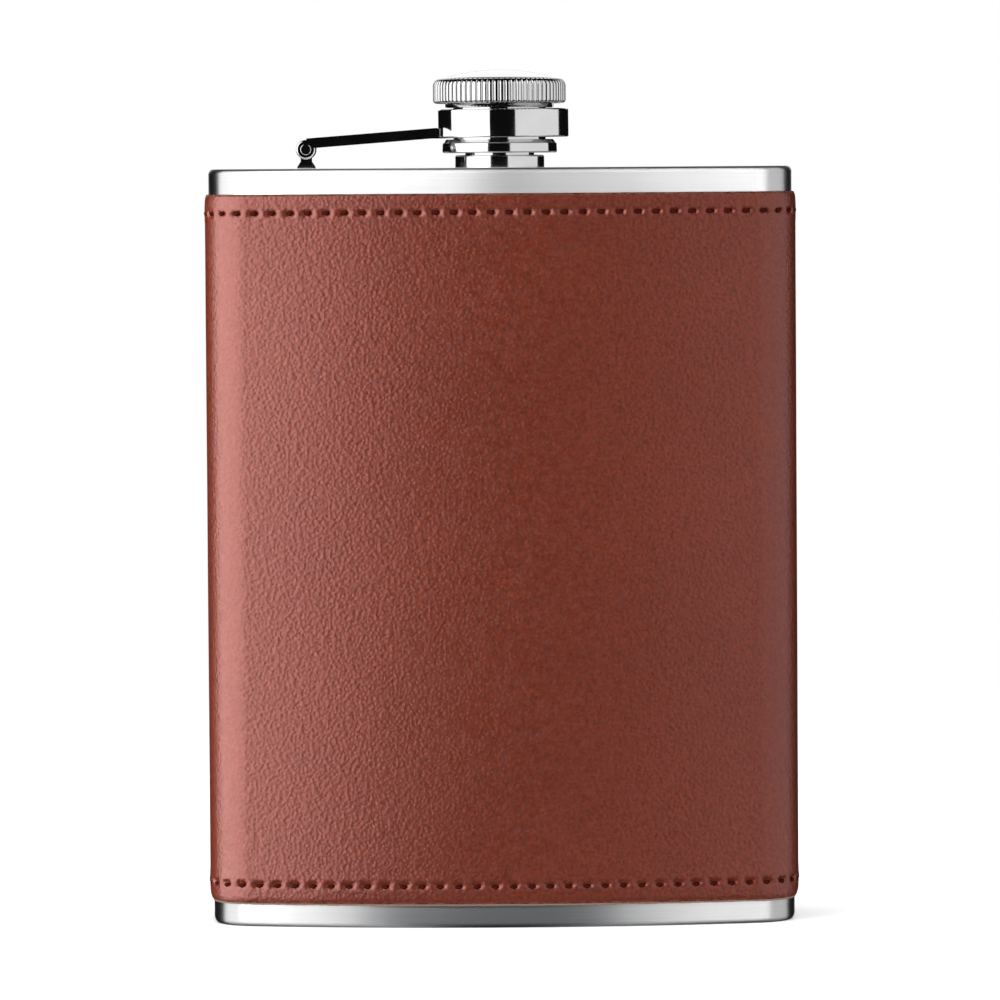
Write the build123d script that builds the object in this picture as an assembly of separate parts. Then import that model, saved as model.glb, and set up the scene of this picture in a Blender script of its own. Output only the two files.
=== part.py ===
from build123d import *
import math
import os

# Hip flask: a kidney-section steel body with a screw cap that stays on a hinged arm, in a leather wrap.
# Millimetres, +Z up, +X to the right, the convex front faces -Y. The flask stands on z = 0, and the
# origin is under the middle of its bounding box.

# Steel body
steel_width = 93.6
body_height = 120.7
body_thickness = 24.0
front_radius = 182.0
back_radius = front_radius - body_thickness
end_bulge = 1.2
corner_radius = 7.4
wall = 0.5

# Pressed lid and base
lid_height = 1.2
lid_sheet = 0.6
lid_edge_radius = 0.85
base_height = 1.6
base_recess = 0.5
base_sheet = 0.6
base_rim = 2.4
base_edge_radius = 0.75

# Leather wrap, with its lining, and the seam that closes it at the back
wrap_bottom = 3.5
wrap_top = 116.7
lining_thickness = 0.2
leather_thickness = 0.5
wrap_thickness = lining_thickness + leather_thickness
seam_gap = 0.3
wrap_edge_radius = 0.2

# Stitching
stitch_pitch = 2.93
stitch_length = 1.6
stitch_width = 0.55
stitch_height = 0.4
stitch_proud = 0.15
stitch_inset = 3.05
seam_stitch_offset = 2.6

# Neck, heights measured from the top of the lid
collar_radius = 7.1
collar_height = 2.0
neck_radius = 5.5
neck_bore_radius = 4.8
neck_height = 8.6
neck_chamfer = 0.25
swage_radius = 6.6
swage_height = 0.5
thread_pitch = 1.5
thread_turns = 2.9
thread_depth = 0.5
thread_start = 3.0
thread_root_width = 0.95
thread_crest_width = 0.35
thread_bite = 0.15

# Cap, heights measured from the top of the lid
head_radius = 10.6
head_bottom = 10.2
head_side_low = 10.7
head_side_high = 13.1
head_shoulder_height = 14.2
head_shoulder_radius = 9.45
head_foot_radius = 9.9
foot_bend_radius = 10.44
foot_bend_height = 10.35
rim_bend_radius = 10.26
rim_bend_height = 13.7
dome_top = 15.6
dome_lip = 0.12
shoulder_radius = 8.65
shoulder_bottom = 9.55
knurl_count = 72
knurl_depth = 0.36
knurl_root_width = 0.66
knurl_crest_width = 0.34
knurl_inner_radius = 8.9
core_radius = 7.35
core_bottom = 2.35
core_top = 12.2
core_bore_radius = 6.9
cap_thread_depth = 0.42
cap_ceiling = 9.5
cap_thread_start = 3.2
retainer_top = 4.5
retainer_top_radius = 8.5
retainer_shoulder = 3.85
retainer_shoulder_radius = 9.1
retainer_bottom_radius = 9.15
retainer_edge = 0.2
seal_radius = 6.7

# Swivel ring, loose on the cap, so that it hangs a little off centre and a little tilted
ring_outer_radius = 10.4
ring_bore_radius = 8.1
ring_bottom = 4.8
ring_top = 9.35
ring_offset = 0.6
ring_tilt = 0.4
ring_edge_radius = 0.25

# Hinged arm, as (x, height above the lid) of its two pins
post_pivot_x = -30.9
post_pivot_height = 3.05
ring_pivot_x = -11.3
ring_pivot_height = 5.47
arm_rise = 4.25
arm_width = 6.4
arm_flange = 0.7
arm_height = 1.6
arm_web = 0.5
arm_end = 1.45
arm_start = -30.75
ear_radius = 1.56
ear_edge_radius = 0.3
web_post_gap = 1.75
web_ring_gap = 1.15
lug_width = 4.4
lug_radius = 0.78
lug_root_depth = 1.1
post_radius = 1.25
post_stem_width = 1.7
post_foot_width = 2.8
post_foot_height = 0.3
post_flare_height = 1.15
pin_clearance = 0.04
post_pin_radius = 0.55
post_pin_head_radius = 0.86
post_pin_head_height = 0.3
post_pin_head_edge = 0.1
ring_pin_radius = 0.42


def arc_depth(radius, x):
    """How far an arc that is centred on x = 0 has fallen back at x."""
    return radius - math.sqrt(radius**2 - x**2)


def kidney(grow=0.0):
    """Section of the steel body, grown outwards by an even amount, the ungrown front-most point at y = 0.

    The front and the hollow back share a centre, and each end is an arc of its own.
    """
    half = steel_width / 2 - end_bulge
    front_depth = arc_depth(front_radius, half)
    back_depth = body_thickness + arc_depth(back_radius, half)
    half_side = (back_depth - front_depth) / 2
    end_radius = (half_side**2 + end_bulge**2) / (2 * end_bulge)
    end_x = half + end_bulge - end_radius
    end_y = (front_depth + back_depth) / 2
    outline = Pos(0, front_radius) * (Circle(front_radius + grow) - Circle(back_radius - grow))
    for x in (end_x, -end_x):
        outline &= Pos(x, end_y) * Circle(end_radius + grow)
    return fillet(outline.vertices(), radius=corner_radius + grow)


wrap_box = kidney(wrap_thickness).bounding_box()
centre_shift = -wrap_box.center().Y
neck_y = centre_shift + body_thickness / 2
back_y = centre_shift + body_thickness


def section(grow=0.0):
    """Section of the body in place, grown outwards all round."""
    return Pos(0, centre_shift) * kidney(grow)


def slab(grow, bottom, top):
    """Section of the body, grown outwards and extruded between two heights."""
    return extrude(Pos(0, 0, bottom) * section(grow), amount=top - bottom)


def band(outer, inner, bottom, top):
    """Hollow slab between two outlines."""
    return slab(outer, bottom, top) - slab(inner, bottom, top)


def on_neck(shape):
    """Moves a shape that was made about the Z axis, from the lid up, onto the neck."""
    return Pos(0, neck_y, body_height) * shape


def turned(points):
    """Solid of revolution from (radius, height) points."""
    profile = make_face(Polyline(*points, close=True))
    return revolve(Plane.XZ * profile, Axis.Z)


def across(radius, length):
    """Round bar along Y, centred."""
    return Rot(90, 0, 0) * Cylinder(radius, length)


def pivot(x, height):
    """Location of a hinge axis above the lid."""
    return Pos(x, neck_y, body_height + height)


def body_shell():
    """Seam-welded tube of steel sheet, open at both ends."""
    return band(0, -wall, base_height, body_height - lid_height)


def top_plate():
    """Pressed lid with a rounded edge, butt-welded to the shell, with the hole for the neck."""
    lid = slab(0, body_height - lid_height, body_height)
    lid = fillet(lid.edges().group_by(Axis.Z)[-1], radius=lid_edge_radius)
    lid -= slab(-wall, body_height - lid_height, body_height - lid_sheet)
    hole = Pos(0, neck_y, body_height) * Cylinder(neck_radius, 2 * lid_height)
    return lid - hole


def bottom_plate():
    """Pressed base: a rounded rim that the flask stands on, round a shallow recess."""
    base = slab(0, 0, base_height)
    base = fillet(base.edges().group_by(Axis.Z)[0], radius=base_edge_radius)
    base -= slab(-base_rim, 0, base_recess)
    return base - slab(-wall, base_recess + base_sheet, base_height)


def thread(radius, start, turns, depth):
    """Helical ridge on a cylinder: outward for a positive depth, inward for a negative one."""
    bite = math.copysign(thread_bite, depth)
    half_root = thread_root_width / 2
    half_crest = thread_crest_width / 2
    ridge = make_face(
        Polyline(
            (radius - bite, -half_root),
            (radius, -half_root),
            (radius + depth, -half_crest),
            (radius + depth, half_crest),
            (radius, half_root),
            (radius - bite, half_root),
            close=True,
        )
    )
    path = Helix(pitch=thread_pitch, height=turns * thread_pitch, radius=radius)
    return Pos(0, 0, start) * sweep(Plane.XZ * ridge, path=path, is_frenet=True)


def neck_spout():
    """Neck with a base collar, swaged under the lid, and an outside thread for the cap."""
    tube = turned(
        [
            (neck_bore_radius, -lid_sheet - swage_height),
            (swage_radius, -lid_sheet - swage_height),
            (swage_radius, -lid_sheet),
            (neck_radius, -lid_sheet),
            (neck_radius, 0),
            (collar_radius, 0),
            (collar_radius, collar_height - neck_chamfer),
            (collar_radius - neck_chamfer, collar_height),
            (neck_radius, collar_height),
            (neck_radius, neck_height - neck_chamfer),
            (neck_radius - neck_chamfer, neck_height),
            (neck_bore_radius, neck_height),
        ]
    )
    ridge = thread(neck_radius, thread_start, thread_turns, thread_depth)
    return on_neck(tube + ridge)


def cap_head():
    """Knurled, low-domed grip with a plain shoulder, bored from below for the core."""
    body = head_solid(knurl_depth)
    teeth = head_solid(0) & knurl_teeth()
    socket = Pos(0, 0, (shoulder_bottom + core_top) / 2) * Cylinder(core_radius, core_top - shoulder_bottom)
    return on_neck(body + teeth - socket)


def head_solid(inset):
    """Turned head whose grip is taken in by the knurl's depth, all but the dome and the shoulder."""
    foot = (head_foot_radius - inset, head_bottom)
    foot_bend = (foot_bend_radius - inset, foot_bend_height)
    low = (head_radius - inset, head_side_low)
    high = (head_radius - inset, head_side_high)
    rim_bend = (rim_bend_radius - inset, rim_bend_height)
    rim = (head_shoulder_radius - inset, head_shoulder_height)
    dome_edge = (head_shoulder_radius - inset - dome_lip, head_shoulder_height)
    outline = (
        Line((0, shoulder_bottom), (shoulder_radius, shoulder_bottom))
        + Line((shoulder_radius, shoulder_bottom), (shoulder_radius, head_bottom))
        + Line((shoulder_radius, head_bottom), foot)
        + ThreePointArc(foot, foot_bend, low)
        + Line(low, high)
        + ThreePointArc(high, rim_bend, rim)
        + Line(rim, dome_edge)
        + TangentArc((0, dome_top), dome_edge, tangent=(1, 0))
        + Line((0, dome_top), (0, shoulder_bottom))
    )
    return revolve(Plane.XZ * make_face(outline), Axis.Z)


def knurl_teeth():
    """Straight radial ridges all round, narrower at the crest."""
    half_root = knurl_root_width / 2
    half_crest = knurl_crest_width / 2
    tooth = make_face(
        Polyline(
            (knurl_inner_radius, -half_root),
            (head_radius - knurl_depth, -half_root),
            (head_radius + knurl_depth, -half_crest / 2),
            (head_radius + knurl_depth, half_crest / 2),
            (head_radius - knurl_depth, half_root),
            (knurl_inner_radius, half_root),
            close=True,
        )
    )
    tooth_solid = Pos(0, 0, head_bottom) * extrude(tooth, amount=head_shoulder_height - head_bottom)
    return Compound([Rot(0, 0, 360 * i / knurl_count) * tooth_solid for i in range(knurl_count)])


def cap_core():
    """Sleeve that holds the cap together, closed at the top, with the inside thread."""
    sleeve = turned(
        [
            (0, cap_ceiling),
            (core_bore_radius, cap_ceiling),
            (core_bore_radius, core_bottom),
            (core_radius, core_bottom),
            (core_radius, core_top),
            (0, core_top),
        ]
    )
    ridge = thread(core_bore_radius, cap_thread_start, thread_turns, -cap_thread_depth)
    return on_neck(sleeve + ridge)


def cap_retainer():
    """Coned, chamfered lip that is pressed onto the core and keeps the ring on it."""
    return on_neck(
        turned(
            [
                (core_radius, core_bottom),
                (retainer_bottom_radius - retainer_edge, core_bottom),
                (retainer_bottom_radius, core_bottom + retainer_edge),
                (retainer_shoulder_radius, retainer_shoulder),
                (retainer_top_radius, retainer_top),
                (core_radius, retainer_top),
            ]
        )
    )


def cap_seal():
    """Rubber disc that the cap presses onto the end of the neck."""
    height = cap_ceiling - neck_height
    return on_neck(Pos(0, 0, neck_height + height / 2) * Cylinder(seal_radius, height))


def swivel_ring():
    """Plain ring, turned to clear the core, with the lug for the arm's pin."""
    height = ring_top - ring_bottom
    ring = Cylinder(ring_outer_radius, height)
    ring = fillet(ring.edges().filter_by(GeomType.CIRCLE), radius=ring_edge_radius)
    ring -= Cylinder(ring_bore_radius, 2 * height)
    ring = Pos(ring_offset, 0, (ring_bottom + ring_top) / 2) * Rot(0, -ring_tilt, 0) * ring
    lug_root_x = ring_offset - ring_outer_radius + lug_root_depth
    lug_length = lug_root_x - ring_pivot_x
    lug = Pos(ring_pivot_x + lug_length / 2, 0, ring_pivot_height) * Box(lug_length, lug_width, 2 * lug_radius)
    lug += Pos(ring_pivot_x, 0, ring_pivot_height) * across(lug_radius, lug_width)
    hole = Pos(ring_pivot_x, 0, ring_pivot_height) * across(ring_pin_radius + pin_clearance, arm_width)
    return on_neck(ring + lug - hole)


def cap_arm():
    """Channel-section arm: two flanges with an ear over the post, and a web cut back from both pins."""
    frame = pivot(ring_pivot_x, ring_pivot_height) * Rot(0, -arm_rise, 0)
    reach = (ring_pivot_x - arm_start) / math.cos(math.radians(arm_rise))
    length = reach + arm_end
    bar = frame * Pos((arm_end - reach) / 2, 0, 0) * Box(length, arm_width, arm_height)
    ear = across(ear_radius, arm_width)
    ear = fillet(ear.edges().filter_by(GeomType.CIRCLE), radius=ear_edge_radius)
    arm = bar + pivot(post_pivot_x, post_pivot_height) * ear
    inside = arm_width - 2 * arm_flange
    web_start = reach - (arm_start - post_pivot_x) - web_post_gap
    web_length = web_start - web_ring_gap
    web_middle = -(web_start + web_ring_gap) / 2
    channel = frame * Pos((arm_end - reach) / 2, 0, 0) * Box(2 * length, inside, 4 * ear_radius)
    web_height = arm_height / 2 - arm_web / 2
    web = frame * Pos(web_middle, 0, web_height) * Box(web_length, inside, arm_web)
    arm = arm - channel + web
    pin_holes = pivot(post_pivot_x, post_pivot_height) * across(post_pin_radius, 2 * arm_width)
    pin_holes += pivot(ring_pivot_x, ring_pivot_height) * across(ring_pin_radius, 2 * arm_width)
    return arm - pin_holes


def post_pin():
    """Headed pin, fast in the arm's ears and free in the post."""
    pin = across(post_pin_radius, arm_width)
    head = across(post_pin_head_radius, post_pin_head_height)
    head = fillet(head.edges().filter_by(GeomType.CIRCLE), radius=post_pin_head_edge)
    head_y = arm_width / 2 + post_pin_head_height / 2
    pin += Pos(0, head_y, 0) * head + Pos(0, -head_y, 0) * head
    return pivot(post_pivot_x, post_pivot_height) * pin


def ring_pin():
    """Plain pin, flush with the arm's flanges and free in the ring's lug."""
    return pivot(ring_pivot_x, ring_pivot_height) * across(ring_pin_radius, arm_width)


def hinge_post():
    """Post with an eye for the pin and a flared foot that is fixed to the lid."""
    half_foot, half_stem = post_foot_width / 2, post_stem_width / 2
    side = make_face(
        Polyline(
            (-half_foot, 0),
            (half_foot, 0),
            (half_foot, post_foot_height),
            (half_stem, post_flare_height),
            (half_stem, post_pivot_height),
            (-half_stem, post_pivot_height),
            (-half_stem, post_flare_height),
            (-half_foot, post_foot_height),
            close=True,
        )
    )
    stem = extrude(Plane.XZ * side, amount=lug_width / 2, both=True)
    eye = Pos(0, 0, post_pivot_height) * across(post_radius, lug_width)
    hole = Pos(0, 0, post_pivot_height) * across(post_pin_radius + pin_clearance, arm_width)
    post = stem + eye - hole
    return Pos(post_pivot_x, neck_y, body_height) * post


def seam_slot():
    """Space between the wrap's two ends, at the middle of the back."""
    height = wrap_top - wrap_bottom
    return Pos(0, back_y, wrap_bottom + height / 2) * Box(seam_gap, 4 * wrap_thickness, 2 * height)


def leather_wrap():
    """Leather band round the body, with rounded edges and a butt seam at the back."""
    leather = slab(wrap_thickness, wrap_bottom, wrap_top)
    ends = leather.edges().group_by(Axis.Z)
    leather = fillet(ends[0] + ends[-1], radius=wrap_edge_radius)
    return leather - slab(lining_thickness, wrap_bottom, wrap_top) - seam_slot()


def wrap_lining():
    """Thin lining that is glued between the leather and the steel."""
    return band(lining_thickness, 0, wrap_bottom, wrap_top) - seam_slot()


def stitch():
    """One stitch lying along X, its outer side towards +Z."""
    flat = SlotOverall(stitch_length, stitch_width)
    return Pos(0, 0, stitch_proud - stitch_height) * extrude(flat, amount=stitch_height)


def stitch_row(height):
    """Ring of evenly spaced stitches round the wrap."""
    path = Pos(0, 0, height) * section(wrap_thickness).faces()[0].outer_wire()
    count = round(path.length / stitch_pitch)
    row = []
    for i in range(count):
        distance = (i + 0.5) / count
        spot = path.position_at(distance, position_mode=PositionMode.PARAMETER)
        along = path.tangent_at(distance, position_mode=PositionMode.PARAMETER)
        outward = along.cross(Vector(0, 0, 1))
        row.append(Plane(origin=spot, x_dir=along, z_dir=outward) * stitch())
    return Compound(row)


def back_seam_stitching():
    """Two upright rows of stitches, one each side of the back seam."""
    length = wrap_top - wrap_bottom - 4 * stitch_inset
    count = round(length / stitch_pitch)
    row = []
    for side in (-1, 1):
        x = side * seam_stitch_offset
        y = back_y + arc_depth(back_radius - wrap_thickness, x) + wrap_thickness
        for i in range(count):
            z = wrap_bottom + 2 * stitch_inset + length * (i + 0.5) / count
            row.append(Plane(origin=(x, y, z), x_dir=(0, 0, 1), z_dir=(0, 1, 0)) * stitch())
    return Compound(row)


nodes = {
    "body_shell": body_shell(),
    "top_plate": top_plate(),
    "bottom_plate": bottom_plate(),
    "neck_spout": neck_spout(),
    "hinge_post": hinge_post(),
    "post_pin": post_pin(),
    "cap_arm": cap_arm(),
    "ring_pin": ring_pin(),
    "swivel_ring": swivel_ring(),
    "cap_head": cap_head(),
    "cap_core": cap_core(),
    "cap_retainer": cap_retainer(),
    "cap_seal": cap_seal(),
    "leather_wrap": leather_wrap(),
    "wrap_lining": wrap_lining(),
    "top_stitching": stitch_row(wrap_top - stitch_inset),
    "bottom_stitching": stitch_row(wrap_bottom + stitch_inset),
    "back_seam_stitching": back_seam_stitching(),
}

os.makedirs("parts", exist_ok=True)
for name, shape in nodes.items():
    export_step(shape, f"parts/{name}.step")
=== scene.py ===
import math

import bmesh
import bpy
import numpy as np
from mathutils import Matrix, Vector


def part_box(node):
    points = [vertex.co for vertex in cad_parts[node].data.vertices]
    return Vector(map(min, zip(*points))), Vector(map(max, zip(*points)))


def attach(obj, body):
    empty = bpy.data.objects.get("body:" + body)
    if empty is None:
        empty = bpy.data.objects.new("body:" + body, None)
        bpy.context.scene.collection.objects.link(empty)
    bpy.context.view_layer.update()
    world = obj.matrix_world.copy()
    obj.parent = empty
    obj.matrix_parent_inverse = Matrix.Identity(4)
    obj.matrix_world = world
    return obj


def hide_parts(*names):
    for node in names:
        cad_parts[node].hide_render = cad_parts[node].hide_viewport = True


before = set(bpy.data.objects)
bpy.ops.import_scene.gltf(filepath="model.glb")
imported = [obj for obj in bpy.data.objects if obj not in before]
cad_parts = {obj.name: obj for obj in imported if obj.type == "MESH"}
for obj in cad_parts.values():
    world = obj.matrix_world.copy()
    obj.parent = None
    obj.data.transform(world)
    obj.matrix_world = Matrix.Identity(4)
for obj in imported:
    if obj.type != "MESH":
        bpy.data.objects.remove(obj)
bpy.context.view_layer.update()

# A leather-wrapped hip flask with a captive screw cap. Metres; the convex front faces -Y, the arm's post is
# at -X. The steel parts keep their CAD shapes. The leather, its lining, the stitches and the knurled cap are
# made here.

MM = 0.001
TAU = 2 * math.pi

# The body's section, as in the CAD part
FRONT_RADIUS = 182.0 * MM
BODY_THICKNESS = 24.0 * MM
BACK_RADIUS = FRONT_RADIUS - BODY_THICKNESS
END_BULGE = 1.2 * MM
CORNER_RADIUS = 7.4 * MM

# Leather, measured outwards from the steel, and its hems
LEATHER_FACE = 0.63 * MM
LEATHER_BACK = 0.205 * MM
LEATHER_LIFT = 0.28 * MM
EDGE_ROUND = 0.32 * MM
EDGE_DEPTH = 0.20 * MM
HEM_BAND = 4.6 * MM
SEAM_GAP = 0.05 * MM

# Relief of the leather's face: what rises and what is pressed in
SHOULDER_RISE = 0.04 * MM
BETWEEN_RISE = 0.10 * MM
PRESSED_DEPTH = 0.08 * MM
HOLE_DEPTH = 0.34 * MM
SEAM_LINE_DEPTH = 0.10 * MM
TURNED_IN_DEPTH = 0.16 * MM
DRAWN_IN_DEPTH = 0.20 * MM
WAVE_HEIGHT = 0.008 * MM
LEAST_THICKNESS = 0.03 * MM

# Lining, measured in the same way
LINING_FACE = 0.20 * MM
LINING_BACK = 0.01 * MM

# Stitches
STITCH_PITCH = 2.93 * MM
STITCH_INSET = 3.05 * MM
STITCH_HALF = 0.38 * MM
SEAM_OFFSET = 2.6 * MM
HOLE_RADIUS = 0.42 * MM
THREAD_RADIUS = 0.37 * MM
THREAD_CROWN = 0.39 * MM
THREAD_ROOT = 0.24 * MM
THREAD_LAY = 1.3 * MM
PLY_DEPTH = 0.13

# Cap's knurled grip, heights measured from the lid
GRIP_RADIUS = 10.6 * MM
GRIP_BOTTOM = 10.2 * MM
GRIP_LOW = 10.75 * MM
GRIP_HIGH = 13.0 * MM
FOOT_RADIUS = 9.9 * MM
RIM_RADIUS = 9.45 * MM
RIM_HEIGHT = 14.2 * MM
RIM_GROOVE = 0.14 * MM
SHOULDER_RADIUS = 8.65 * MM
SOCKET_RADIUS = 7.36 * MM
SOCKET_TOP = 12.21 * MM
KNURL_COUNT = 72
KNURL_DEPTH = 0.36 * MM
GRIP_CHAMFER = 0.1 * MM

# Lights and cards, metres
SOFTBOX_DISTANCE = 0.9
RAKING_DISTANCE = 0.86
SOFTBOX_HEIGHT = 1.3
SOFTBOX_CENTRE = 0.35
OVERHEAD_SIZE = 1.6
OVERHEAD_PLACE = (0, -0.2, 1.3)
STRIP_DISTANCE = 80 * MM
STRIP_HEIGHT = 42 * MM
LID_STRIP_RISE = 33 * MM
FOOT_STRIP_LEVEL = 22 * MM

steel_low, steel_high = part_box("body_shell")
wrap_low, wrap_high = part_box("leather_wrap")
neck_low, neck_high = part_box("neck_spout")
lid_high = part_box("top_plate")[1]
head_low, head_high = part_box("cap_head")
NECK = Vector(((neck_low.x + neck_high.x) / 2, (neck_low.y + neck_high.y) / 2, lid_high.z))


# ---------------------------------------------------------------- outline of the body


def meet(c1, r1, c2, r2, side):
    """The point at r1 from c1 and r2 from c2 that lies on one side, +1 or -1, of the line between them."""
    d = np.subtract(c2, c1)
    gap = np.hypot(*d)
    along = (r1**2 - r2**2 + gap**2) / (2 * gap)
    off = math.sqrt(r1**2 - along**2)
    u = d / gap
    return np.array(c1) + along * u + side * off * np.array([-u[1], u[0]])


def angle(v):
    return math.atan2(v[1], v[0])


def outline_arcs(grow):
    """The body's outline, grown outwards, as arcs (centre, radius, first angle, last angle, outward sign).

    They run clockwise from the middle of the back, seen from above.
    """
    front_y = steel_low.y
    half = steel_high.x - END_BULGE
    front_depth = FRONT_RADIUS - math.sqrt(FRONT_RADIUS**2 - half**2)
    back_depth = BODY_THICKNESS + BACK_RADIUS - math.sqrt(BACK_RADIUS**2 - half**2)
    half_side = (back_depth - front_depth) / 2
    end_radius = (half_side**2 + END_BULGE**2) / (2 * END_BULGE)
    middle = np.array([0, front_y + FRONT_RADIUS])
    end = np.array([half + END_BULGE - end_radius, front_y + (front_depth + back_depth) / 2])
    inner_end = end_radius - CORNER_RADIUS
    front_corner = meet(middle, FRONT_RADIUS - CORNER_RADIUS, end, inner_end, 1)
    back_corner = meet(middle, BACK_RADIUS + CORNER_RADIUS, end, inner_end, 1)
    corner = CORNER_RADIUS + grow
    back_turn = angle(back_corner - middle)
    front_turn = angle(front_corner - middle)
    end_high, end_low = angle(back_corner - end), angle(front_corner - end)
    half_turn = -math.pi / 2
    right = [
        (middle, BACK_RADIUS - grow, half_turn, back_turn, -1),
        (back_corner, corner, angle(middle - back_corner) % TAU, end_high, 1),
        (end, end_radius + grow, end_high, end_low, 1),
        (front_corner, corner, end_low, front_turn, 1),
        (middle, FRONT_RADIUS + grow, front_turn, half_turn, 1),
    ]
    mirror = np.array([-1, 1])
    left = [(c * mirror, r, math.pi - b, math.pi - a, sign) for c, r, a, b, sign in reversed(right)]
    return right + left


class Outline:
    """Points and outward normals along the body's outline, by distance from the middle of the back."""

    def __init__(self, grow):
        self.arcs = outline_arcs(grow)
        lengths = [r * abs(b - a) for _, r, a, b, _ in self.arcs]
        self.starts = np.concatenate([[0], np.cumsum(lengths)])
        self.length = float(self.starts[-1])

    def at(self, distance):
        s = np.mod(np.asarray(distance, float), self.length)
        which = np.clip(np.searchsorted(self.starts, s, side="right") - 1, 0, len(self.arcs) - 1)
        points, normals = np.zeros((len(s), 2)), np.zeros((len(s), 2))
        for i, (centre, radius, first, last, sign) in enumerate(self.arcs):
            here = which == i
            share = (s[here] - self.starts[i]) / (self.starts[i + 1] - self.starts[i])
            turn = first + (last - first) * share
            ray = np.stack([np.cos(turn), np.sin(turn)], axis=1)
            points[here] = centre + radius * ray
            normals[here] = sign * ray
        return points, normals


# ---------------------------------------------------------------- meshes


def mesh_object(name, points, faces, marks=None, smooth=True):
    """A mesh whose faces all look outwards. marks gives each face its material."""
    mesh = bpy.data.meshes.new(name)
    mesh.from_pydata([tuple(p) for p in points], [], [tuple(f) for f in faces])
    mesh.polygons.foreach_set("use_smooth", [smooth] * len(mesh.polygons))
    if marks is not None:
        mesh.polygons.foreach_set("material_index", marks)
    shape = bmesh.new()
    shape.from_mesh(mesh)
    bmesh.ops.recalc_face_normals(shape, faces=shape.faces)
    shape.to_mesh(mesh)
    shape.free()
    obj = bpy.data.objects.new(name, mesh)
    bpy.context.scene.collection.objects.link(obj)
    return obj


def grid_faces(rows, columns, first=0, closed=False):
    """Quads of a grid whose points run along each row in turn."""
    around = columns if closed else columns - 1
    faces = []
    for i in range(rows - 1):
        for j in range(around):
            a, b = first + i * columns + j, first + i * columns + (j + 1) % columns
            faces.append((a, b, b + columns, a + columns))
    return faces


def smooth_step(x):
    t = np.clip(x, 0, 1)
    return t * t * (3 - 2 * t)


def bell(x, width):
    return np.exp(-((x / width) ** 2))


# ---------------------------------------------------------------- leather wrap


WRAP_FACE = Outline(LEATHER_FACE)
STITCHES = round(WRAP_FACE.length / STITCH_PITCH)
SEAM_STITCHES = round((wrap_high.z - wrap_low.z - 4 * STITCH_INSET) / STITCH_PITCH)


def on_wrap(share, offset, height):
    """Points at a share of the way round the wrap, an offset outwards from the steel, at a height."""
    points, normals = WRAP_FACE.at(share * WRAP_FACE.length)
    plan = points + normals * (offset - LEATHER_FACE)[:, None]
    return np.column_stack([plan, height])


def leather_surface(share, height, bottom, top):
    """How far the leather's face stands off the steel: sewn hems, needle holes and a faint unevenness."""
    around = share * WRAP_FACE.length
    inset = np.minimum(height - bottom, top - height)
    off_line = inset - STITCH_INSET
    along = (np.mod(share * STITCHES, 1.0) - 0.5) * STITCH_PITCH
    hole = bell(np.hypot(np.abs(along) - STITCH_HALF, off_line), HOLE_RADIUS)
    pressed = bell(off_line, 0.45 * MM) * bell(along, 0.65 * MM)
    between = bell(off_line, 0.45 * MM) * bell(np.abs(along) - STITCH_PITCH / 2, 0.38 * MM)
    shoulders = bell(np.abs(off_line) - 0.95 * MM, 0.55 * MM)
    from_seam = np.minimum(around, WRAP_FACE.length - around)
    seam_line = bell(from_seam - SEAM_OFFSET, 0.45 * MM) * smooth_step(inset / MM - 4)
    turned_in = 1 - smooth_step(from_seam / (0.5 * MM))
    drawn_in = bell(inset, 0.6 * MM)
    waves = np.sin(around * 290 + 1.3 * np.sin(height * 90)) * np.sin(height * 170 + 2.0)
    raised = SHOULDER_RISE * shoulders + BETWEEN_RISE * between + WAVE_HEIGHT * waves
    sewn = PRESSED_DEPTH * pressed + HOLE_DEPTH * hole + SEAM_LINE_DEPTH * seam_line
    edges = TURNED_IN_DEPTH * turned_in + DRAWN_IN_DEPTH * drawn_in
    return LEATHER_FACE + raised - sewn - edges


def leather_rows(bottom, top):
    """Heights of the face's rows, closest over the hems, and how far each is rounded back at the edge."""
    turn = np.radians([90, 66, 44, 22])
    low, high = bottom + EDGE_ROUND, top - EDGE_ROUND
    hem = np.linspace(0, HEM_BAND, 24)
    middle = np.linspace(low + HEM_BAND, high - HEM_BAND, 32)[1:-1]
    heights = np.concatenate(
        [
            low - EDGE_ROUND * np.sin(turn),
            low + hem,
            middle,
            high - hem[::-1],
            (high + EDGE_ROUND * np.sin(turn))[::-1],
        ]
    )
    rounded = np.zeros(len(heights))
    rounded[: len(turn)] = EDGE_DEPTH * (1 - np.cos(turn))
    rounded[-len(turn) :] = rounded[: len(turn)][::-1]
    return heights, rounded


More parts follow.
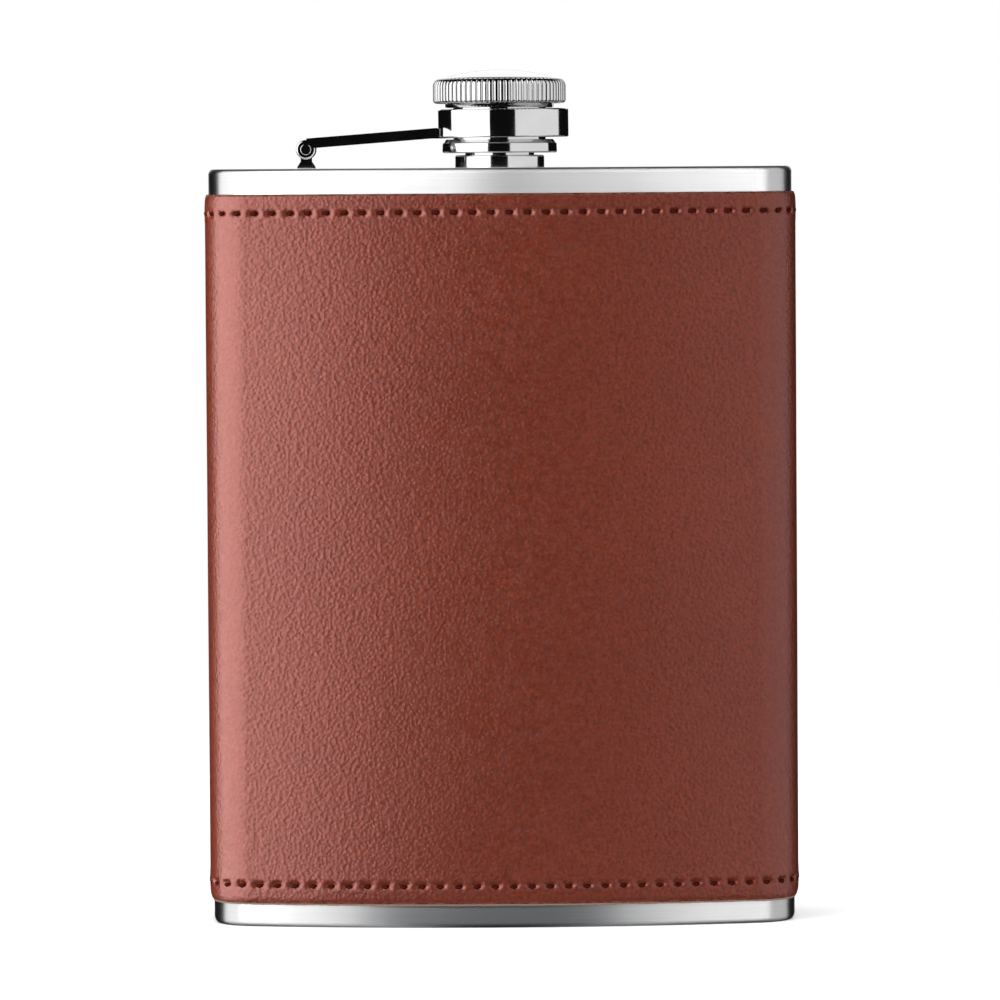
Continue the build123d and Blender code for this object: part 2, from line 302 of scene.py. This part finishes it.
def make_leather():
    """The leather band: a face with sewn hems, a plain back, and cut edges that are rounded and burnished."""
    bottom, top = wrap_low.z + LEATHER_LIFT, wrap_high.z - 0.05 * MM
    gap = SEAM_GAP / 2 / WRAP_FACE.length
    share = np.linspace(gap, 1 - gap, 12 * STITCHES + 1)
    columns = len(share)
    heights, rounded = leather_rows(bottom, top)
    face = []
    for z, back in zip(heights, rounded):
        stand_off = leather_surface(share, np.full(columns, z), bottom, top) - back
        stand_off = np.maximum(stand_off, LEATHER_BACK + LEAST_THICKNESS)
        face.append(on_wrap(share, stand_off, np.full(columns, z)))
    ties = list(range(0, len(heights) - 1, 11)) + [len(heights) - 1]
    back = [on_wrap(share, np.full(columns, LEATHER_BACK), np.full(columns, heights[i])) for i in ties]
    inside = len(heights) * columns
    faces = grid_faces(len(heights), columns)
    edge_rows = np.repeat(rounded[:-1] + rounded[1:] > 0, columns - 1)
    marks = edge_rows.astype(int).tolist()
    rest = grid_faces(len(ties), columns, first=inside)
    for outer, inner in ((0, 0), (len(heights) - 1, len(ties) - 1)):
        a, b = outer * columns, inside + inner * columns
        rest += [(a + j, a + j + 1, b + j + 1, b + j) for j in range(columns - 1)]
    for j in (0, columns - 1):
        for k in range(len(ties) - 1):
            run = [i * columns + j for i in range(ties[k], ties[k + 1] + 1)]
            rest.append((*run, inside + (k + 1) * columns + j, inside + k * columns + j))
    return mesh_object("leather_band", np.vstack(face + back), faces + rest, marks + [1] * len(rest))


def make_lining():
    """The thin lining, glued to the steel, whose lower edge shows under the leather."""
    share = np.linspace(0, 1, 6 * STITCHES + 1)
    share[0], share[-1] = SEAM_GAP / 2 / WRAP_FACE.length, 1 - SEAM_GAP / 2 / WRAP_FACE.length
    columns = len(share)
    ragged = 0.02 * MM * (np.sin(share * 1900) + np.sin(share * 3170 + 1))
    low, high = wrap_low.z + 0.05 * MM + ragged, wrap_high.z - 0.35 * MM + ragged
    rows = [(LINING_BACK, low), (LINING_FACE, low), (LINING_FACE, high), (LINING_BACK, high)]
    points = np.vstack([on_wrap(share, np.full(columns, offset), height) for offset, height in rows])
    faces = grid_faces(4, columns)
    faces += [(3 * columns + j, 3 * columns + j + 1, j + 1, j) for j in range(columns - 1)]
    faces += [(0, columns, 2 * columns, 3 * columns)]
    faces += [tuple((i + 1) * columns - 1 for i in range(4))]
    return mesh_object("lining_band", points, faces)


# ---------------------------------------------------------------- stitches


def thread_points(middle, along, outward, lean):
    """Rings of points of one stitch, a two-ply thread that dives into a needle hole at each end.

    middle is on the steel under the stitch; lean tips the stitch out of its line.
    """
    rings, sides = 15, 10
    upright = np.cross(outward, along)
    turn = np.linspace(0, math.pi, rings)
    reach = -(STITCH_HALF + 0.05 * MM) * np.cos(turn)
    height = THREAD_ROOT + (THREAD_CROWN - THREAD_ROOT) * np.sin(turn) ** 0.6
    line = middle + reach[:, None] * (along + lean * upright) + height[:, None] * outward
    run = np.gradient(line, axis=0)
    travelled = np.concatenate([[0], np.cumsum(np.linalg.norm(np.diff(line, axis=0), axis=1))])
    run /= np.linalg.norm(run, axis=1)[:, None]
    across = np.cross(run, outward + 0.001 * upright)
    across /= np.linalg.norm(across, axis=1)[:, None]
    over = np.cross(across, run)
    spin = np.linspace(0, TAU, sides, endpoint=False)
    ply = 1 + PLY_DEPTH * np.cos(2 * (spin[None, :] - TAU * travelled[:, None] / THREAD_LAY))
    radius = THREAD_RADIUS * (0.55 + 0.45 * np.sin(turn))[:, None, None] * ply[..., None]
    around = across[:, None] * np.cos(spin)[None, :, None] + over[:, None] * np.sin(spin)[None, :, None]
    return (line[:, None] + radius * around).reshape(-1, 3), rings, sides


def sew(name, stitches):
    """One object with a separate closed thread for each stitch (middle, along, outward, lean)."""
    points, faces = [], []
    for middle, along, outward, lean in stitches:
        first = len(points)
        ring_points, rings, sides = thread_points(middle, along, outward, lean)
        points.extend(ring_points)
        faces += grid_faces(rings, sides, first=first, closed=True)
        faces.append(tuple(first + j for j in range(sides)))
        faces.append(tuple(first + (rings - 1) * sides + j for j in range(sides)))
    return mesh_object(name, points, faces)


def hem_stitches(height, seed):
    """Stitches all round the wrap at one height."""
    chance = np.random.default_rng(seed)
    share = (np.arange(STITCHES) + 0.5) / STITCHES
    steel = on_wrap(share, np.zeros(STITCHES), np.full(STITCHES, height))
    normals = WRAP_FACE.at(share * WRAP_FACE.length)[1]
    leans = chance.normal(0.14, 0.09, STITCHES)
    for middle, (nx, ny), lean in zip(steel, normals, leans):
        yield middle, np.array([ny, -nx, 0]), np.array([nx, ny, 0]), lean


def seam_stitches(seed):
    """Two upright rows, one each side of the seam at the back."""
    chance = np.random.default_rng(seed)
    for offset in (SEAM_OFFSET, -SEAM_OFFSET):
        share = np.array([offset / WRAP_FACE.length])
        nx, ny = WRAP_FACE.at(share * WRAP_FACE.length)[1][0]
        for i in range(SEAM_STITCHES):
            height = wrap_low.z + 2 * STITCH_INSET + (i + 0.5) * STITCH_PITCH
            middle = on_wrap(share, np.zeros(1), np.array([height]))[0]
            yield middle, np.array([0, 0, 1]), np.array([nx, ny, 0]), chance.normal(0.0, 0.05)


# ---------------------------------------------------------------- knurled cap


def grip_profile():
    """Rows of (radius, height, how deep the knurl is there, 0 to 1), from the socket's top to the dome's."""
    foot = head_low.z - NECK.z
    rows = [(0, SOCKET_TOP, 0), (SOCKET_RADIUS, SOCKET_TOP, 0), (SOCKET_RADIUS, foot, 0)]
    rows += [(SHOULDER_RADIUS - GRIP_CHAMFER, foot, 0), (SHOULDER_RADIUS, foot + GRIP_CHAMFER, 0)]
    rows += [(SHOULDER_RADIUS, GRIP_BOTTOM - GRIP_CHAMFER / 2, 0)]
    rows += [(SHOULDER_RADIUS + GRIP_CHAMFER, GRIP_BOTTOM, 0)]
    rows += [(FOOT_RADIUS - 0.3 * MM, GRIP_BOTTOM, 0.2), (FOOT_RADIUS, GRIP_BOTTOM + 0.02 * MM, 0.6)]
    for turn in np.radians([20, 40, 60, 80]):
        radius = FOOT_RADIUS + (GRIP_RADIUS - FOOT_RADIUS) * math.sin(turn)
        rows.append((radius, GRIP_LOW - (GRIP_LOW - GRIP_BOTTOM) * math.cos(turn), 1))
    rows += [(GRIP_RADIUS, height, 1) for height in np.linspace(GRIP_LOW, GRIP_HIGH, 5)]
    for turn in np.radians(np.arange(10, 91, 10)):
        radius = RIM_RADIUS + (GRIP_RADIUS - RIM_RADIUS) * math.cos(turn)
        height = GRIP_HIGH + (RIM_HEIGHT - GRIP_HIGH) * math.sin(turn)
        rows.append((radius, height, 1 - 0.8 * smooth_step((math.degrees(turn) - 55) / 35)))
    dome = RIM_RADIUS - 2 * RIM_GROOVE
    groove = RIM_HEIGHT - RIM_GROOVE
    rows += [(RIM_RADIUS - GRIP_CHAMFER, groove, 0), (dome + 0.06 * MM, groove, 0)]
    rise = head_high.z - NECK.z - RIM_HEIGHT
    rows += [(dome * r, RIM_HEIGHT + rise * (1 - r**2), 0) for r in np.linspace(1, 0, 16)]
    return rows


def make_grip():
    """The cap's head with rounded ridges that run from its foot over its rim."""
    columns = 10 * KNURL_COUNT
    turn = np.arange(columns) * TAU / columns
    valley = np.abs(2 * np.mod(turn * KNURL_COUNT / TAU, 1.0) - 1) ** 4.5
    rows = grip_profile()
    points = [(NECK.x, NECK.y, NECK.z + rows[0][1])]
    for radius, height, depth in rows[1:-1]:
        r = radius - depth * KNURL_DEPTH * valley
        level = np.full(columns, NECK.z + height)
        points += list(zip(NECK.x + r * np.cos(turn), NECK.y + r * np.sin(turn), level))
    points.append((NECK.x, NECK.y, NECK.z + rows[-1][1]))
    faces = grid_faces(len(rows) - 2, columns, first=1, closed=True)
    last = len(points) - 1
    for j in range(columns):
        k = (j + 1) % columns
        faces.append((0, 1 + j, 1 + k))
        faces.append((last, last - columns + j, last - columns + k))
    return mesh_object("knurled_head", points, faces)


# ---------------------------------------------------------------- materials


class Nodes:
    """A short way to write a node material."""

    def __init__(self, name):
        self.material = bpy.data.materials.new(name)
        self.material.use_nodes = True
        self.tree = self.material.node_tree
        self.tree.nodes.clear()
        self.shader = self.add("ShaderNodeBsdfPrincipled")
        self.surface = self.add("ShaderNodeOutputMaterial").inputs["Surface"]
        self.link(self.shader.outputs[0], self.surface)
        self.place = self.add("ShaderNodeTexCoord").outputs["Object"]

    def add(self, kind, values=(), **settings):
        node = self.tree.nodes.new(kind)
        for key, value in settings.items():
            setattr(node, key, value)
        for key, value in dict(values).items():
            node.inputs[key].default_value = value
        return node

    def link(self, a, b):
        self.tree.links.new(a, b)

    def put(self, **values):
        """Sets the shader's own sockets."""
        names = {
            "rough": "Roughness",
            "metal": "Metallic",
            "ior": "IOR",
            "specular": "Specular IOR Level",
            "tint": "Specular Tint",
            "aniso": "Anisotropic",
            "aniso_turn": "Anisotropic Rotation",
        }
        for key, value in values.items():
            self.shader.inputs[names[key]].default_value = value

    def scaled(self, scale):
        node = self.add("ShaderNodeMapping", {"Scale": scale})
        self.link(self.place, node.inputs["Vector"])
        return node.outputs[0]

    def noise(self, scale, detail=2.0, rough=0.5, stretch=(1, 1, 1)):
        node = self.add("ShaderNodeTexNoise", {"Scale": scale, "Detail": detail, "Roughness": rough})
        self.link(self.scaled(stretch), node.inputs["Vector"])
        return node.outputs["Fac"]

    def cells(self, scale, smooth):
        node = self.add("ShaderNodeTexVoronoi", {"Scale": scale, "Smoothness": smooth}, feature="SMOOTH_F1")
        self.link(self.place, node.inputs["Vector"])
        return node.outputs["Distance"]

    def span(self, value, low, high, to_low=0.0, to_high=1.0):
        """Maps a value from low..high to another range, smoothly."""
        node = self.add(
            "ShaderNodeMapRange",
            {"From Min": low, "From Max": high, "To Min": to_low, "To Max": to_high},
            interpolation_type="SMOOTHSTEP",
        )
        self.link(value, node.inputs["Value"])
        return node.outputs[0]

    def math(self, kind, a, b):
        node = self.add("ShaderNodeMath", operation=kind)
        for socket, value in zip(node.inputs, (a, b)):
            if isinstance(value, (int, float)):
                socket.default_value = value
            else:
                self.link(value, socket)
        return node.outputs[0]

    def mix(self, share, a, b):
        """Mixes two colours, each a tuple or a socket."""
        node = self.add("ShaderNodeMix", data_type="RGBA")
        self.link(share, node.inputs[0])
        for index, value in ((6, a), (7, b)):
            if isinstance(value, tuple):
                node.inputs[index].default_value = (*value, 1)
            else:
                self.link(value, node.inputs[index])
        return node.outputs[2]

    def bump(self, height, distance, strength=1.0, after=None):
        node = self.add("ShaderNodeBump", {"Strength": strength, "Distance": distance})
        self.link(height, node.inputs["Height"])
        if after is not None:
            self.link(after, node.inputs["Normal"])
        return node.outputs[0]

    def set(self, socket, value):
        self.link(value, self.shader.inputs[socket])


def leather_material():
    """Smooth red-brown leather: a fine pebble grain, a little colour drift, a soft sheen."""
    m = Nodes("leather_grain")
    m.put(specular=1.0, ior=1.6, tint=(1.0, 0.50, 0.47, 1))
    drift = m.span(m.noise(34, 3.0, 0.55), 0.32, 0.68)
    pebble = m.cells(1650, 0.4)
    mottle = m.span(m.noise(2100, 3.0, 0.65), 0.30, 0.68)
    base = m.mix(drift, (0.116, 0.0148, 0.0030), (0.132, 0.0176, 0.0042))
    m.set("Base Color", m.mix(mottle, (0.062, 0.0080, 0.0016), base))
    m.set("Roughness", m.span(m.noise(900, 2.0), 0.3, 0.7, 0.30, 0.39))
    grain = m.bump(pebble, 0.10 * MM, 0.6)
    m.set("Normal", m.bump(m.noise(3000, 4.0, 0.65), 0.06 * MM, 0.6, grain))
    return m.material


def cut_edge_material():
    """The cut and burnished edge of the leather."""
    m = Nodes("leather_edge")
    m.put(specular=0.2)
    fibres = m.noise(1300, 5.0, 0.65, (1, 1, 3))
    m.set("Base Color", m.mix(m.span(fibres, 0.35, 0.65), (0.034, 0.009, 0.006), (0.170, 0.055, 0.036)))
    m.set("Roughness", m.span(fibres, 0.3, 0.7, 0.5, 0.75))
    m.set("Normal", m.bump(fibres, 0.06 * MM, 0.7))
    return m.material


def thread_material():
    """Waxed polyester sewing thread."""
    m = Nodes("waxed_thread")
    m.put(specular=0.05)
    fuzz = m.noise(5200, 4.0, 0.65)
    m.set("Base Color", m.mix(m.span(fuzz, 0.3, 0.7), (0.012, 0.0012, 0.0008), (0.060, 0.005, 0.0025)))
    m.set("Roughness", m.span(fuzz, 0.3, 0.7, 0.5, 0.7))
    m.set("Normal", m.bump(fuzz, 0.03 * MM, 0.6))
    return m.material


def lining_material():
    """Thin woven lining with glue in it."""
    m = Nodes("woven_lining")
    m.put(specular=0.3)
    across = m.add("ShaderNodeTexWave", {"Scale": 620, "Distortion": 0.4}, bands_direction="Z")
    along = m.add("ShaderNodeTexWave", {"Scale": 620, "Distortion": 0.4}, bands_direction="X")
    for wave in (across, along):
        m.link(m.place, wave.inputs["Vector"])
    weave = m.math("MULTIPLY", across.outputs["Fac"], along.outputs["Fac"])
    m.set("Base Color", m.mix(weave, (0.260, 0.150, 0.110), (0.420, 0.270, 0.210)))
    m.set("Roughness", m.span(weave, 0.0, 1.0, 0.9, 0.75))
    m.set("Normal", m.bump(weave, 0.06 * MM, 0.7))
    return m.material


def brushed_steel_material():
    """Stainless sheet, brushed finely round the body, with a painted dark line where the lid's edge is
    rounded, standing in for that edge's dark reflection.
    """
    m = Nodes("brushed_steel")
    m.put(metal=1.0, aniso=0.93, aniso_turn=0.25)
    streaks = m.noise(1500, 6.0, 0.72, (0.012, 0.012, 4.0))
    wear = m.noise(55, 4.0, 0.6)
    bright = m.mix(m.span(streaks, 0.3, 0.7), (0.72, 0.72, 0.73), (0.79, 0.79, 0.79))
    # Painted reflection: a thin band just under the lid's top is darkened in the colour, in place of the
    # rounded edge's dark reflection.
    height = m.add("ShaderNodeSeparateXYZ")
    m.link(m.place, height.inputs[0])
    below = m.span(height.outputs["Z"], lid_high.z - 0.42 * MM, lid_high.z - 0.22 * MM)
    above = m.span(height.outputs["Z"], lid_high.z - 0.10 * MM, lid_high.z - 0.02 * MM, 1.0, 0.0)
    m.set("Base Color", m.mix(m.math("MULTIPLY", below, above), bright, (0.16, 0.16, 0.165)))
    gloss = m.math("ADD", m.span(streaks, 0.25, 0.75, 0.40, 0.46), m.span(wear, 0.3, 0.7, -0.01, 0.03))
    m.set("Roughness", gloss)
    m.set("Normal", m.bump(streaks, 0.006 * MM, 0.3))
    return m.material


def polished_steel_material():
    """Mirror-polished stainless steel with the faintest haze and handling marks."""
    m = Nodes("polished_steel")
    m.put(metal=1.0)
    haze = m.noise(160, 5.0, 0.65)
    hairs = m.noise(2400, 3.0, 0.6, (1, 1, 0.08))
    m.set("Base Color", m.mix(m.span(haze, 0.35, 0.65), (0.77,) * 3, (0.82,) * 3))
    gloss = m.math("ADD", m.span(haze, 0.3, 0.7, 0.05, 0.10), m.span(hairs, 0.4, 0.8, 0.0, 0.03))
    m.set("Roughness", gloss)
    m.set("Normal", m.bump(hairs, 0.004 * MM, 0.25))
    return m.material


def rubber_material():
    """Moulded black rubber with a faint bloom."""
    m = Nodes("seal_rubber")
    m.put(specular=0.35)
    bloom = m.noise(700, 4.0, 0.6)
    m.set("Base Color", m.mix(m.span(bloom, 0.35, 0.7), (0.012, 0.012, 0.012), (0.040, 0.038, 0.036)))
    m.set("Roughness", m.span(bloom, 0.3, 0.7, 0.62, 0.8))
    m.set("Normal", m.bump(bloom, 0.03 * MM, 0.4))
    return m.material


def dress(obj, *materials):
    if obj.data.materials:
        obj.data.materials.clear()
    for material in materials:
        obj.data.materials.append(material)


# ---------------------------------------------------------------- set


def area_light(name, first, last, height, centre_z, radiance):
    """An upright softbox that runs between two points on the ground plan and faces the flask."""
    first, last = Vector((*first, centre_z)), Vector((*last, centre_z))
    middle = (first + last) / 2
    width = (last - first).length
    light = bpy.data.lights.new(name, "AREA")
    light.shape = "RECTANGLE"
    light.size, light.size_y = width, height
    light.energy = radiance * math.pi * width * height
    obj = bpy.data.objects.new(name, light)
    bpy.context.scene.collection.objects.link(obj)
    side = (last - first).normalized()
    up = Vector((0, 0, 1))
    facing = side.cross(up)
    if facing.dot(-middle) < 0:
        facing = -facing
    back = -facing
    obj.matrix_world = Matrix.Translation(middle) @ Matrix((up.cross(back), up, back)).transposed().to_4x4()
    obj.visible_camera = False
    return obj


def polar(azimuth, distance):
    """A point on the ground plan: 0 degrees is straight in front, positive to the right."""
    a = math.radians(azimuth)
    return distance * math.sin(a), -distance * math.cos(a)


def side_light(name, first, last, distance, radiance):
    """A tall softbox between two bearings."""
    ends = polar(first, distance), polar(last, distance)
    return area_light(name, *ends, SOFTBOX_HEIGHT, SOFTBOX_CENTRE, radiance)


def only_for(light, receivers):
    """Lets a light reach these objects and no others."""
    group = bpy.data.collections.new(light.name + "_lit")
    for obj in receivers:
        group.objects.link(obj)
    light.light_linking.receiver_collection = group


def overhead(name, radiance):
    """A square softbox above the flask that lights matt surfaces and isn't seen in reflections."""
    light = bpy.data.lights.new(name, "AREA")
    light.shape = "SQUARE"
    light.size = OVERHEAD_SIZE
    light.energy = radiance * math.pi * OVERHEAD_SIZE**2
    obj = bpy.data.objects.new(name, light)
    obj.location = OVERHEAD_PLACE
    obj.visible_camera = obj.visible_glossy = False
    bpy.context.scene.collection.objects.link(obj)
    return obj


def make_lights(soft_pieces, cap_top, floor):
    """Softboxes at the sides and behind, fills overhead, and lights that reach only some of the pieces."""
    side_light("softbox_left", -24, -104, SOFTBOX_DISTANCE, 1.75)
    side_light("softbox_right", 21, 115, SOFTBOX_DISTANCE, 0.82)
    area_light("softbox_back", (-0.45, 1.3), (0.45, 1.3), 1.2, 0.85, 1.1)
    raking = side_light("raking_left", -24, -110, RAKING_DISTANCE, 2.2)
    only_for(raking, soft_pieces)
    overhead("fill_top", 0.6)
    only_for(overhead("fill_floor", 3.0), [floor])
    above_cap = overhead("above_cap", 0.7)
    above_cap.visible_glossy = True
    only_for(above_cap, [cap_top])
    brushed = [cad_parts[name] for name in ("body_shell", "top_plate", "bottom_plate")]
    front = steel_low.y - STRIP_DISTANCE
    lid_level = lid_high.z + LID_STRIP_RISE
    strips = (
        ("lid_left", -160, -4.5, lid_level, 6.8),
        ("lid_right", 3.5, 170, lid_level, 3.7),
        ("foot_left", -160, -45, FOOT_STRIP_LEVEL, 3.2),
        ("foot_right", 37, 170, FOOT_STRIP_LEVEL, 2.7),
    )
    for name, first, last, level, radiance in strips:
        strip = area_light(name, (first * MM, front), (last * MM, front), STRIP_HEIGHT, level, radiance)
        strip.visible_diffuse = strip.visible_shadow = False
        only_for(strip, brushed)


def make_flag():
    """A small grey card that only the foot of the flask reflects: it lies before the foot and turns up."""
    left, right = -38 * MM, 28 * MM
    near, far = steel_low.y - 1 * MM, steel_low.y - 60 * MM
    lying, raised = 0.2 * MM, 12 * MM
    profile = ((near, lying), (far, lying), (far, raised))
    points = [(x, y, z) for x in (left, right) for y, z in profile]
    card = mesh_object("flag", points, [(0, 1, 4, 3), (1, 2, 5, 4)], smooth=False)
    m = Nodes("flag_card")
    glow = m.add("ShaderNodeEmission", {"Color": (0.098, 0.110, 0.124, 1), "Strength": 1.0})
    m.link(glow.outputs[0], m.surface)
    dress(card, m.material)
    card.visible_camera = card.visible_diffuse = card.visible_shadow = card.visible_transmission = False


def make_world():
    """White behind everything; a dim room in the reflections and a soft fill on matt surfaces."""
    world = bpy.data.worlds.new("studio")
    bpy.context.scene.world = world
    world.use_nodes = True
    tree = world.node_tree
    tree.nodes.clear()
    path = tree.nodes.new("ShaderNodeLightPath")
    output = tree.nodes.new("ShaderNodeOutputWorld")

    def background(strength):
        node = tree.nodes.new("ShaderNodeBackground")
        node.inputs["Color"].default_value = (1, 1, 1, 1)
        node.inputs["Strength"].default_value = strength
        return node.outputs[0]

    def choose(factor, otherwise, chosen):
        node = tree.nodes.new("ShaderNodeMixShader")
        tree.links.new(factor, node.inputs[0])
        tree.links.new(otherwise, node.inputs[1])
        tree.links.new(chosen, node.inputs[2])
        return node.outputs[0]

    matt = choose(path.outputs["Is Diffuse Ray"], background(0.004), background(0.30))
    shown = choose(path.outputs["Is Camera Ray"], matt, background(1.0))
    tree.links.new(shown, output.inputs["Surface"])


def make_floor():
    """White paper that fades into the white background away from the flask."""
    size = 1.2
    corners = [(-size, -size, 0), (size, -size, 0), (size, size, 0), (-size, size, 0)]
    floor = mesh_object("floor", corners, [(0, 1, 2, 3)], smooth=False)
    m = Nodes("floor_paper")
    m.put(rough=0.9, specular=0.1)
    tone = m.span(m.noise(3.0, 2.0), 0.2, 0.8)
    m.set("Base Color", m.mix(tone, (0.93, 0.93, 0.93), (0.95, 0.95, 0.95)))
    distance = m.add("ShaderNodeVectorMath", operation="LENGTH")
    m.link(m.place, distance.inputs[0])
    faded = m.span(distance.outputs["Value"], 0.16, 0.50)
    clear = m.add("ShaderNodeBsdfTransparent")
    fade = m.add("ShaderNodeMixShader")
    m.link(faded, fade.inputs[0])
    m.link(m.shader.outputs[0], fade.inputs[1])
    m.link(clear.outputs[0], fade.inputs[2])
    m.link(fade.outputs[0], m.surface)
    dress(floor, m.material)
    floor.visible_glossy = floor.visible_shadow = False
    return floor


def make_camera():
    """A long lens level with the lid, pitched down to the flask's middle and rolled a touch."""
    distance = 1.1
    frame_width = 0.1600
    pitch, roll = math.radians(2.769), math.radians(-0.38)
    camera = bpy.data.cameras.new("camera")
    camera.sensor_width = 36.0
    camera.lens = camera.sensor_width * distance / frame_width
    camera.clip_start, camera.clip_end = 0.05, 20.0
    obj = bpy.data.objects.new("camera", camera)
    bpy.context.scene.collection.objects.link(obj)
    place = Matrix.Translation((-0.32 * MM, NECK.y - distance, lid_high.z))
    tilt = Matrix.Rotation(math.pi / 2 - pitch, 4, "X")
    obj.matrix_world = place @ tilt @ Matrix.Rotation(roll, 4, "Z")
    bpy.context.scene.camera = obj


# ---------------------------------------------------------------- assembly

steel = brushed_steel_material()
polished = polished_steel_material()
leather, edge = leather_material(), cut_edge_material()
thread, lining, rubber = thread_material(), lining_material(), rubber_material()

FINISHES = {
    steel: ["body_shell", "top_plate", "bottom_plate"],
    polished: [
        "neck_spout",
        "hinge_post",
        "post_pin",
        "cap_arm",
        "ring_pin",
        "swivel_ring",
        "cap_core",
        "cap_retainer",
    ],
    rubber: ["cap_seal"],
}
for material, names in FINISHES.items():
    for name in names:
        dress(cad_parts[name], material)


def place(piece, node, body, slot, *materials):
    """Puts a Blender piece in a CAD node's place, on its body and with its finish."""
    dress(piece, *materials)
    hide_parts(node)
    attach(piece, body)
    return piece


band = place(make_leather(), "leather_wrap", "flask", "leather", leather, edge)
inner = place(make_lining(), "wrap_lining", "flask", "lining", lining)

top_row = sew("top_thread", hem_stitches(wrap_high.z - STITCH_INSET, 3))
bottom_row = sew("bottom_thread", hem_stitches(wrap_low.z + STITCH_INSET, 5))
seam_rows = sew("seam_thread", seam_stitches(8))
place(top_row, "top_stitching", "flask", "thread", thread)
place(bottom_row, "bottom_stitching", "flask", "thread", thread)
place(seam_rows, "back_seam_stitching", "flask", "thread", thread)
head = place(make_grip(), "cap_head", "cap", "polished_steel", polished)

make_lights([band, inner, top_row, bottom_row, seam_rows], head, make_floor())
make_flag()
make_world()
make_camera()

view = bpy.context.scene.view_settings
view.view_transform = "Standard"
view.look = "None"
